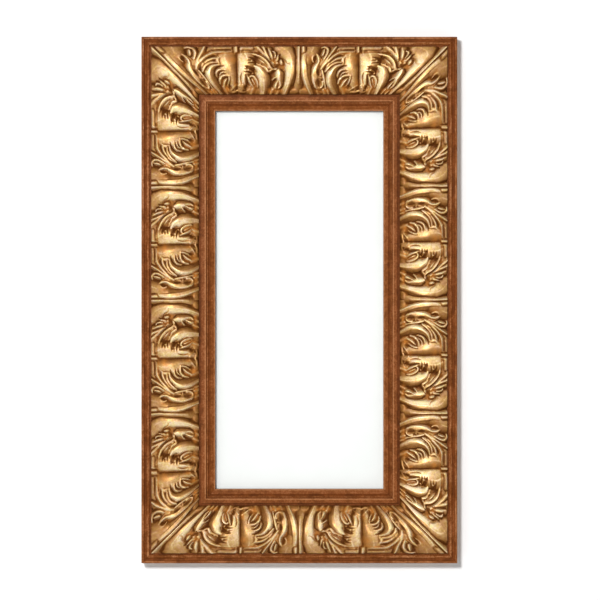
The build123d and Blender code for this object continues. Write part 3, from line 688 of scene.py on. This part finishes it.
def antique_gold(settings):
    """Gold over a red-orange ground, with painted light and shade by the side each form faces, dark glaze and
    painted shade in the hollows, pale on the high forms, and painted shade towards the band's edges.
    """
    painted_light_weight, high_weight, hollow_weight, base = 0.94, 0.22, 0.40, 0.016
    patch_weight, fine_weight, fine_roughness = 0.14, 0.10, 0.1
    least_worn, patch_worn = 0.35, 0.65
    rosy, olive = (1.015, 0.99, 1.15), (0.99, 1.005, 0.81)
    material, bench, shader = new_material("gilded_relief", Specular_IOR_Level=0.1)
    painted_light, hollow = bench.attribute("painted_light_side"), bench.attribute("hollow")
    high, rub = bench.attribute("high_form"), bench.attribute("rubbed")
    across = stick_position(bench)["Across"]
    patches = uneven_tone(bench, patch=9.0, low=0.3, high=0.7, stray=1.0)
    fine = uneven_tone(bench, patch=1.8, low=0.3, high=0.7, stray=0.4)
    # Tone is mostly painted light: lighter on slopes facing the strip's start, darker in the hollows through
    # glaze and painted shade
    tone = bench.plus(bench.times(painted_light, painted_light_weight), bench.times(high, high_weight))
    tone = bench.minus(tone, bench.minus(bench.times(hollow, hollow_weight), base))
    tone = bench.vary(tone, patches, patch_weight)
    tone = bench.vary(tone, fine, fine_weight)
    # Painted shade towards the band's edges, where its cushion falls away: a little at the outer edge, more
    # at the inner edge
    tone = bench.plus(tone, bench.remap(across, 12.0, 34.0, -0.08, 0.03))
    tone = bench.plus(tone, bench.remap(across, 52.0, 68.0, 0.0, -0.22))
    # Ramp of painted light and shade: glaze and the deepest painted shade, painted shade, gold, lit gold,
    # painted light and a painted highlight in cream
    gold = bench.ramp(
        tone,
        [(0.0, settings.crease_colour), (0.24, settings.shade_colour), (0.48, settings.gold_colour),
         (0.68, settings.lit_gold_colour), (0.86, settings.painted_light_colour), (1.0, settings.painted_highlight_colour)],
    )
    hue = bench.blend(uneven_tone(bench, patch=7.0, low=0.36, high=0.64, stray=1.4), rosy, olive)
    gold = bench.blend(1.0, gold, hue, "MULTIPLY")
    worn = bench.times(rub, bench.remap(tone, 0.75, 0.4))
    worn = bench.times(worn, bench.plus(least_worn, bench.times(patches, patch_worn)))
    rough = bench.remap(hollow, 0.25, 0.9, 0.34, 0.62)
    cast = fine_noise(bench, step=0.9, detail=4.0, roughness=0.6)
    bench.fill(
        shader, Base_Color=bench.blend(worn, gold, settings.rub_colour),
        Metallic=bench.remap(tone, 0.2, 0.8, 0.05, 0.4),
        Roughness=bench.plus(rough, bench.times(fine, fine_roughness)),
        Normal=bench.bump(cast, distance=0.00018, strength=0.5),
    )
    return material


def clear_acrylic():
    """Clear sheet: lamps pass it to the card, and it mirrors the room."""
    material, bench, shader = new_material(
        "clear_acrylic", Base_Color=(0.985, 0.995, 0.99), Transmission_Weight=1.0, IOR=1.49
    )
    smear = uneven_tone(bench, patch=45.0, low=0.35, high=0.75, stray=0.8)
    bench.fill(shader, Roughness=bench.remap(smear, 0.0, 1.0, 0.012, 0.05))
    path = bench.add("ShaderNodeLightPath").outputs
    unseen = bench.math("MAXIMUM", path["Is Shadow Ray"], path["Is Diffuse Ray"])
    let_through(material, bench, unseen, (0.97, 0.98, 0.975))
    return material


def white_card():
    """Plain white card with a faint paper tooth."""
    material, bench, shader = new_material("white_card", Specular_IOR_Level=0.25)
    clouds = uneven_tone(bench, patch=30.0, low=0.3, high=0.7, stray=0.3)
    tooth = fine_noise(bench, step=0.35, detail=3.0, roughness=0.7)
    bench.fill(
        shader, Base_Color=bench.blend(clouds, (0.93, 0.93, 0.925), (0.95, 0.95, 0.945)),
        Roughness=bench.remap(tooth, 0.3, 0.7, 0.72, 0.86),
        Normal=bench.bump(tooth, distance=0.00004, strength=0.4),
    )
    return material


def foam_board():
    """White paper face, a little warm, with scuffs and a fibrous touch."""
    material, bench, shader = new_material("foam_board", Specular_IOR_Level=0.3)
    clouds = uneven_tone(bench, patch=38.0, low=0.3, high=0.7, stray=0.5)
    scuffs = specks(bench, size=2.4, share=0.12)
    fibre = fine_noise(bench, step=0.5, detail=4.0, roughness=0.7)
    paper = bench.blend(clouds, (0.74, 0.72, 0.67), (0.80, 0.785, 0.74))
    bench.fill(
        shader, Base_Color=bench.tinge(paper, scuffs, 0.35, (0.60, 0.57, 0.52)),
        Roughness=bench.remap(fibre, 0.3, 0.7, 0.66, 0.84),
        Normal=bench.bump(fibre, distance=0.00006, strength=0.5),
    )
    return material


def zinc_plate():
    """Bright zinc plate with drawn lines, fingered patches and small pits."""
    material, bench, shader = new_material("zinc_plated_steel", Metallic=1.0)
    x, y, z = bench.split(bench.object_point())
    lines = bench.combine(bench.times(x, 0.12), y, z)
    drawn = bench.noise(lines, scale=1.0 / (0.25 * MM), detail=3.0, roughness=0.7)
    haze = uneven_tone(bench, patch=6.0, low=0.3, high=0.7, stray=1.0)
    pits = specks(bench, size=0.7, share=0.18)
    tint = bench.blend(haze, (0.62, 0.63, 0.64), (0.74, 0.71, 0.62))
    rough = bench.remap(haze, 0.0, 1.0, 0.24, 0.38)
    bench.fill(
        shader, Base_Color=bench.tinge(tint, pits, 0.5, (0.36, 0.34, 0.31)),
        Roughness=bench.plus(rough, bench.times(drawn, 0.1)),
        Normal=bench.bump(drawn, distance=0.00003, strength=0.4),
    )
    return material


def bumper_rubber():
    """Dark matt rubber with dust on it."""
    material, bench, shader = new_material("bumper_rubber", Specular_IOR_Level=0.35)
    dust = specks(bench, size=0.8, share=0.3)
    bloom = uneven_tone(bench, patch=4.0, low=0.3, high=0.7, stray=0.5)
    colour = bench.blend(bloom, (0.020, 0.019, 0.018), (0.034, 0.032, 0.030))
    bench.fill(
        shader, Base_Color=bench.tinge(colour, dust, 0.5, (0.12, 0.11, 0.10)),
        Roughness=bench.remap(bloom, 0.0, 1.0, 0.62, 0.8),
        Normal=bench.bump(dust, distance=0.00005, strength=0.4),
    )
    return material


def dress(nodes, material):
    """Gives CAD nodes a material on their own slots."""
    for name in nodes:
        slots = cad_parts[name].data.materials
        slots.clear()
        slots.append(material)


def blur(field, sigma):
    """Gaussian blur of a grid along both axes, sigma in cells, with its edges repeated."""
    reach = max(1, int(3 * sigma))
    weights = np.exp(-0.5 * (np.arange(-reach, reach + 1) / sigma) ** 2)
    weights /= weights.sum()
    for axis in (0, 1):
        pad = [(0, 0), (0, 0)]
        pad[axis] = (reach, reach)
        padded = np.pad(field, pad, mode="edge")
        field = sum(
            w * np.take(padded, range(i, i + field.shape[axis]), axis=axis) for i, w in enumerate(weights)
        )
    return field


def smooth_run(points, per_span=8):
    """Catmull-Rom points through a run of control points."""
    run = np.array(points, float)
    run = np.vstack([2 * run[0] - run[1], run, 2 * run[-1] - run[-2]])
    t = np.linspace(0, 1, per_span, endpoint=False)[:, None]
    spans = []
    for before, start, end, after in zip(run[:-3], run[1:-2], run[2:-1], run[3:]):
        spans.append(
            start + 0.5 * t * (end - before + t * (2 * before - 5 * start + 4 * end - after
                                                   + t * (3 * start - before - 3 * end + after)))
        )
    return np.vstack([*spans, run[-2:-1]])


def form_height(from_seam, from_edge, points, ground, fullness, lean=0.0):
    """Height of one round-backed form over a grid, and the ground beyond it.

    A lean moves the crest to one side of the run, so that one flank is long and the other steep.
    """
    height = np.full(from_seam.shape, ground)
    run = smooth_run(points)
    for (x0, v0, w0, h0), (x1, v1, w1, h1) in zip(run[:-1], run[1:]):
        dx, dv = x1 - x0, v1 - v0
        share = np.clip(((from_seam - x0) * dx + (from_edge - v0) * dv) / (dx * dx + dv * dv + 1e-9), 0, 1)
        off_x, off_v = from_seam - x0 - share * dx, from_edge - v0 - share * dv
        away = np.hypot(off_x, off_v) / (w0 + share * (w1 - w0))
        side = np.where(dv * off_x > dx * off_v, away, -away)
        from_crest = np.where(side > lean, (side - lean) / (1 - lean), (lean - side) / (1 + lean))
        fall = np.clip(1 - from_crest ** 2, 0, 1)
        height = np.maximum(height, ground + (h0 + share * (h1 - h0) - ground) * fall ** fullness)
    return height


def soft_maximum(first, second, blend):
    """The higher of two surfaces, with a small fillet where they meet."""
    mix = np.clip(0.5 + 0.5 * (first - second) / blend, 0, 1)
    return second + (first - second) * mix + blend * mix * (1 - mix) * 0.5


HalfPattern = namedtuple("HalfPattern", "height rub cell")


def half_pattern(settings, own_forms, own_cuts):
    """Height and rubbed spots of half a repeat, on a grid of from-edge rows and from-seam columns."""
    cell, softening = 0.3, 0.3
    fillet = 0.6
    form_fullness, cut_fullness = 0.62, 1.0
    floor_depth = 0.6
    from_seam, from_edge = np.meshgrid(
        np.arange(0, HALF_REPEAT + cell, cell), np.arange(BAND_OUTER / MM, BAND_INNER / MM + cell, cell)
    )
    height = np.full(from_seam.shape, settings.ground)
    for name, points in {**CARVED_FORMS, **own_forms}.items():
        lean = CREST_LEAN.get(name, 0.0)
        form = form_height(from_seam, from_edge, points, settings.ground, form_fullness, lean)
        height = soft_maximum(height, form, fillet)
    depth = np.zeros(from_seam.shape)
    for points in {**GOUGE_CUTS, **own_cuts}.values():
        depth = np.maximum(depth, form_height(from_seam, from_edge, points, 0.0, cut_fullness))
    height = np.maximum(height - depth, settings.ground - floor_depth)
    rub = np.zeros(from_seam.shape)
    for x, v, along, across, share in RUBBED_SPOTS:
        rub += share * np.exp(-((from_seam - x) / along) ** 2 - ((from_edge - v) / across) ** 2)
    return HalfPattern(blur(height, softening / cell), np.clip(rub, 0, 1), cell)


def sample(field, row, column):
    """Values of a grid between its points."""
    short_of_last = 1.001
    row = np.clip(row, 0, field.shape[0] - short_of_last)
    column = np.clip(column, 0, field.shape[1] - short_of_last)
    r, c = row.astype(int), column.astype(int)
    fr, fc = row - r, column - c
    upper = field[r, c] * (1 - fc) + field[r, c + 1] * fc
    lower = field[r + 1, c] * (1 - fc) + field[r + 1, c + 1] * fc
    return upper * (1 - fr) + lower * fr


def wander(shape, seed, cells):
    """Smooth noise over a grid, about one either way, with hills that many cells wide."""
    coarse = np.random.default_rng(seed).normal(size=(shape[0] // cells + 3, shape[1] // cells + 3))
    rows = np.arange(shape[0])[:, None] / cells + np.zeros(shape)
    columns = np.arange(shape[1])[None] / cells + np.zeros(shape)
    return blur(sample(coarse, rows, columns), cells / 3)


def from_seam_along(s, from_edge, length, settings):
    """Mm from the nearest seam for each point of a stick, negative before it, HALF_REPEAT at a strap.

    The end halves shear, so that a strap lies on each mitre.
    """
    run = length - 2 * settings.corner_setback
    half = run / (2 * max(1, round(run / settings.repeat)))
    along = (s - settings.corner_setback) / half
    inner = np.mod(along, 2) - 1
    seam = settings.corner_setback + half
    first = (s - seam) / (seam - from_edge)
    last = (s - (length - seam)) / (seam - from_edge)
    share = np.where(s < seam, first, np.where(s > length - seam, last, inner))
    return share * HALF_REPEAT + settings.seam_lead * (1 - share ** 4)


def cushion_level(from_edge):
    """Heights above the back of the band's seat and of the cushion that arches over it."""
    rise, edge_rise = 7.0 * MM, 2.0 * MM
    seat_outer, seat_inner = 26.4 * MM, 20.4 * MM
    width = BAND_INNER - BAND_OUTER
    share = (from_edge - BAND_OUTER) / width
    chord = seat_outer + (seat_inner - seat_outer) * share
    return chord, chord + edge_rise + 4 * rise * share * (1 - share)


def strip_point(side, s, from_edge, level):
    """Row-frame points of a stick at s along it, inwards from its outer edge and above its back."""
    out, along = np.array(side.outward, float), np.array(side.along, float)
    flat = (side.reach - from_edge)[..., None] * out + (s - side.length / 2)[..., None] * along
    return np.stack([flat[..., 0], BACK_Y - level, flat[..., 1]], axis=-1)


def gilding_marks(height, s, share, settings):
    """Marks from 0 to 1 that the gilding follows: painted light and shade by the side each slope faces, dark
    glaze and painted shade in the hollows with a painted highlight on the crests, and high forms.
    """
    # Painted light comes from the strip's start and its outer edge, by these weights
    painted_light_along, painted_light_from_edge = 0.85, 0.45
    # Reach in mm and weight of each blur
    painted_light_blurs = ((0.25, 1.95), (2.5, 0.3))
    hollow_blurs = ((1.0, 1.1), (3.5, 0.3))
    flat_hollow, hollow_gain, highest = 0.4, 0.5, 4.2
    cell = settings.grid / MM
    slope_s = np.gradient(height, axis=1) / (np.gradient(s, axis=1) / MM)
    slope_edge = np.gradient(height, axis=0) / cell - slope_s * (1 - 2 * share)
    # Painted light and shade: slopes facing the strip's start and its outer edge are painted lighter, the
    # others darker, the same on every stick
    facing = painted_light_along * slope_s + painted_light_from_edge * slope_edge
    painted_light_slope = sum(weight * blur(facing, reach / cell) for reach, weight in painted_light_blurs)
    # Dark glaze and painted shade in the hollows, and a painted highlight on the crests
    hollow = sum(weight * (blur(height, reach / cell) - height) for reach, weight in hollow_blurs)
    lowest = settings.ground * settings.depth
    return {
        "painted_light_side": 0.5 + 0.5 * np.tanh(painted_light_slope),
        "hollow": np.clip(flat_hollow + hollow_gain * hollow, 0, 1),
        "high_form": np.clip((height - lowest) / (highest * settings.depth), 0, 1),
    }


def closed_band(name, top, foot, marks):
    """A mesh of a grid of points, walled down to four foot corners and closed at the back."""
    foot_mark = 0.5
    rows, columns = top.shape[:2]
    index = np.arange(rows * columns).reshape(rows, columns)
    quads = np.stack([index[:-1, :-1], index[:-1, 1:], index[1:, 1:], index[1:, :-1]], axis=-1).reshape(-1, 4)
    f0, f1, f2, f3 = range(rows * columns, rows * columns + 4)
    walls = [
        [*index[0, ::-1], f0, f1],
        [*index[::-1, -1], f1, f2],
        [*index[-1], f2, f3],
        [*index[:, 0], f3, f0],
        [f3, f2, f1, f0],
    ]
    mesh = bpy.data.meshes.new(name)
    points = np.vstack([top.reshape(-1, 3), foot])
    mesh.from_pydata(points.tolist(), [], quads.tolist() + [[int(i) for i in wall] for wall in walls])
    smooth = np.ones(len(quads) + len(walls), bool)
    smooth[-len(walls):] = False
    mesh.polygons.foreach_set("use_smooth", smooth)
    for mark, values in marks.items():
        attribute = mesh.attributes.new(mark, "FLOAT", "POINT")
        values = np.append(values.ravel(), [foot_mark] * len(foot))
        attribute.data.foreach_set("value", values.astype(np.float32))
    mesh.update()
    return mesh


def link_piece(mesh):
    """An object for a mesh, in the scene."""
    piece = bpy.data.objects.new(mesh.name, mesh)
    bpy.context.scene.collection.objects.link(piece)
    return piece


def carve_strip(side, number, halves, settings):
    """One stick's carved band as a closed piece, with the marks that its gilding follows, its painted light
    and shade among them.
    """
    wobble_cells, seeds_per_stick = 14, 10
    corners = ([0, 0, -1, -1], [0, -1, -1, 0])
    rows = int((BAND_INNER - BAND_OUTER) / settings.grid)
    columns = int((side.length - BAND_OUTER - BAND_INNER) / settings.grid)
    share, from_edge = np.meshgrid(np.linspace(0, 1, columns), np.linspace(BAND_OUTER, BAND_INNER, rows))
    s = from_edge + share * (side.length - 2 * from_edge)
    seed = settings.seed + seeds_per_stick * number
    stray = [wander(s.shape, seed + k, wobble_cells) * settings.hand_wobble for k in (0, 1)]
    place = from_seam_along(s, from_edge, side.length, settings) + stray[0]
    before, after = halves
    column = np.abs(place) / before.cell
    row = ((from_edge - BAND_OUTER) / MM + stray[1]) / before.cell
    height = np.where(place < 0, sample(before.height, row, column), sample(after.height, row, column))
    height *= settings.depth
    seat, cushion = cushion_level(from_edge)
    top = strip_point(side, s, from_edge, cushion + height * MM)
    foot = strip_point(side, s[corners], from_edge[corners], seat[corners])
    marks = gilding_marks(height, s, share, settings)
    marks["rubbed"] = sample(before.rub, row, column)
    return link_piece(closed_band(f"{side.name}_carving", top, foot, marks))


class GILDED_OT_stain_sticks(bpy.types.Operator):
    """Stains the four mitred sticks and leaves their backs bare."""

    bl_idname = "gilded_frame.stain_sticks"
    bl_label = "Stain sticks"

    def execute(self, context):
        settings = context.scene.gilded_frame.sticks
        dress(("top_rail", "bottom_rail", "left_stile", "right_stile"), stained_wood(settings))
        return {"FINISHED"}


class GILDED_OT_carve_relief(bpy.types.Operator):
    """Carves the acanthus band of each stick and gilds it."""

    bl_idname = "gilded_frame.carve_relief"
    bl_label = "Carve relief"

    def execute(self, context):
        settings = context.scene.gilded_frame.relief
        halves = (
            half_pattern(settings, BEFORE_SEAM_FORMS, BEFORE_SEAM_CUTS),
            half_pattern(settings, AFTER_SEAM_FORMS, AFTER_SEAM_CUTS),
        )
        gold = antique_gold(settings)
        for number, side in enumerate(SIDES):
            piece = carve_strip(side, number, halves, settings)
            piece.data.materials.append(gold)
            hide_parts(f"{side.name}_relief")
            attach(piece, ROOT_BODY)
        return {"FINISHED"}


class GILDED_OT_fill_rebate(bpy.types.Operator):
    """Glazes the frame and sets the card and the backing board behind the sheet."""

    bl_idname = "gilded_frame.fill_rebate"
    bl_label = "Fill rebate"

    def execute(self, context):
        dress(("glazing",), clear_acrylic())
        dress(("insert_card",), white_card())
        dress(("backing_board",), foam_board())
        return {"FINISHED"}


class GILDED_OT_plate_hardware(bpy.types.Operator):
    """Plates the nails, turn buttons, screws, hangers and rings."""

    bl_idname = "gilded_frame.plate_hardware"
    bl_label = "Plate hardware"

    def execute(self, context):
        expected = 13
        starts, ends = ("turn_button", "hanger", "corner_nails"), ("_hanger", "_ring")
        steel = [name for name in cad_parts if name.startswith(starts) or name.endswith(ends)]
        if len(steel) != expected:
            raise RuntimeError(f"{expected} steel nodes were expected, and these were found: {steel}")
        dress(steel, zinc_plate())
        return {"FINISHED"}


class GILDED_OT_fit_bumpers(bpy.types.Operator):
    """Gives the two wall bumpers their rubber."""

    bl_idname = "gilded_frame.fit_bumpers"
    bl_label = "Fit bumpers"

    def execute(self, context):
        dress(("left_bumper", "right_bumper"), bumper_rubber())
        return {"FINISHED"}


def add_plane(name, corners, material):
    """A flat stage piece with one material."""
    mesh = bpy.data.meshes.new(name)
    mesh.from_pydata(corners, [], [(0, 1, 2, 3)])
    mesh.materials.append(material)
    plane = link_piece(mesh)
    return plane


def wall_material():
    """White wall that shows only its front and keeps the frame's shadow."""
    material, bench, _ = new_material(
        "studio_wall", Base_Color=(0.95, 0.95, 0.95), Roughness=1.0, Specular_IOR_Level=0.0
    )
    backfacing = bench.add("ShaderNodeNewGeometry").outputs["Backfacing"]
    let_through(material, bench, backfacing, (1.0, 1.0, 1.0))
    return material


def floor_material():
    """Plain pale floor with a faint unevenness."""
    material, bench, shader = new_material("studio_floor", Specular_IOR_Level=0.1)
    tone = uneven_tone(bench, patch=400.0, low=0.3, high=0.7, stray=0.2)
    bench.fill(
        shader, Base_Color=bench.blend(tone, (0.75, 0.75, 0.745), (0.77, 0.77, 0.765)),
        Roughness=bench.remap(tone, 0.0, 1.0, 0.8, 0.9),
    )
    return material


def white_world(fill):
    """White to the eye and in reflections, and a soft fill for everything else."""
    world = bpy.data.worlds.new("studio_white")
    world.use_nodes = True
    bench = NodeBench(world.node_tree)
    path = bench.add("ShaderNodeLightPath").outputs
    shown = bench.math("MAXIMUM", path["Is Camera Ray"], path["Is Glossy Ray"])
    shown = bench.math("MAXIMUM", shown, path["Is Transmission Ray"])
    strength = bench.remap(shown, 0.0, 1.0, fill, 1.0)
    bench.fill(world.node_tree.nodes["Background"].inputs, Color=(1.0, 1.0, 1.0), Strength=strength)
    return world


def add_lamp(name, place, size, share):
    """A square soft box aimed at the frame, which adds that share of plain light to a facing surface."""
    place = Vector(place)
    facing = abs(place.y) / place.length
    light = bpy.data.lights.new(name, "AREA")
    light.shape = "SQUARE"
    light.size = size
    light.energy = share * math.pi ** 2 * place.length_squared / facing
    lamp = bpy.data.objects.new(name, light)
    lamp.location = place
    lamp.rotation_mode = "QUATERNION"
    lamp.rotation_quaternion = (-place).to_track_quat("-Z", "Y")
    bpy.context.scene.collection.objects.link(lamp)


def add_camera(settings):
    """A long lens square to the frame, which shows the view height at the frame's front."""
    camera = bpy.data.objects.new("camera", bpy.data.cameras.new("camera"))
    camera.data.lens = settings.lens
    distance = settings.view_height * settings.lens / camera.data.sensor_width
    camera.location = (settings.aim_right, FRONT_Y - distance, 0.0)
    camera.rotation_euler = (math.radians(90.0), 0.0, 0.0)
    bpy.context.scene.collection.objects.link(camera)
    return camera


class GILDED_OT_set_stage(bpy.types.Operator):
    """Sets the wall, floor, lamps, world and camera."""

    bl_idname = "gilded_frame.set_stage"
    bl_label = "Set stage"

    def execute(self, context):
        settings = context.scene.gilded_frame.stage
        scene = context.scene
        scene.view_settings.view_transform = "Standard"
        scene.world = white_world(settings.fill)
        half, wall_y = 4.0, 0.0006
        floor = -HALF_HEIGHT - settings.floor_drop
        wall = add_plane(
            "studio_wall",
            [(-half, wall_y, floor), (half, wall_y, floor), (half, wall_y, half), (-half, wall_y, half)],
            wall_material(),
        )
        for kind in ("diffuse", "glossy", "transmission", "volume_scatter", "shadow"):
            setattr(wall, f"visible_{kind}", False)
        add_plane(
            "studio_floor",
            [(-half, -half, floor), (half, -half, floor), (half, half, floor), (-half, half, floor)],
            floor_material(),
        )
        for lamp in LAMPS:
            add_lamp(*lamp)
        scene.camera = add_camera(settings)
        return {"FINISHED"}


OPERATORS = (
    GILDED_OT_stain_sticks,
    GILDED_OT_carve_relief,
    GILDED_OT_fill_rebate,
    GILDED_OT_plate_hardware,
    GILDED_OT_fit_bumpers,
    GILDED_OT_set_stage,
)


class GILDED_PT_frame(bpy.types.Panel):
    """Lists the steps that dress the frame."""

    bl_idname = "GILDED_PT_frame"
    bl_label = "Gilded Picture Frame"
    bl_space_type = "VIEW_3D"
    bl_region_type = "UI"
    bl_category = "Picture Frame"

    def draw(self, context):
        settings = context.scene.gilded_frame
        for operator in OPERATORS:
            self.layout.operator(operator.bl_idname)
        for group in (settings.relief, settings.sticks, settings.stage):
            box = self.layout.box()
            for name in group.bl_rna.properties.keys():
                if name not in {"rna_type", "name"}:
                    box.prop(group, name)


CLASSES = (ReliefSettings, StickSettings, StageSettings, FrameSettings, *OPERATORS, GILDED_PT_frame)


def register():
    for cls in CLASSES:
        bpy.utils.register_class(cls)
    bpy.types.Scene.gilded_frame = bpy.props.PointerProperty(
        name="Gilded frame", description="All settings of the picture frame", type=FrameSettings,
    )


def unregister():
    del bpy.types.Scene.gilded_frame
    for cls in reversed(CLASSES):
        bpy.utils.unregister_class(cls)


def main():
    register()
    for operator in OPERATORS:
        group, name = operator.bl_idname.split(".")
        getattr(getattr(bpy.ops, group), name)()


if __name__ == "__main__":
    main()
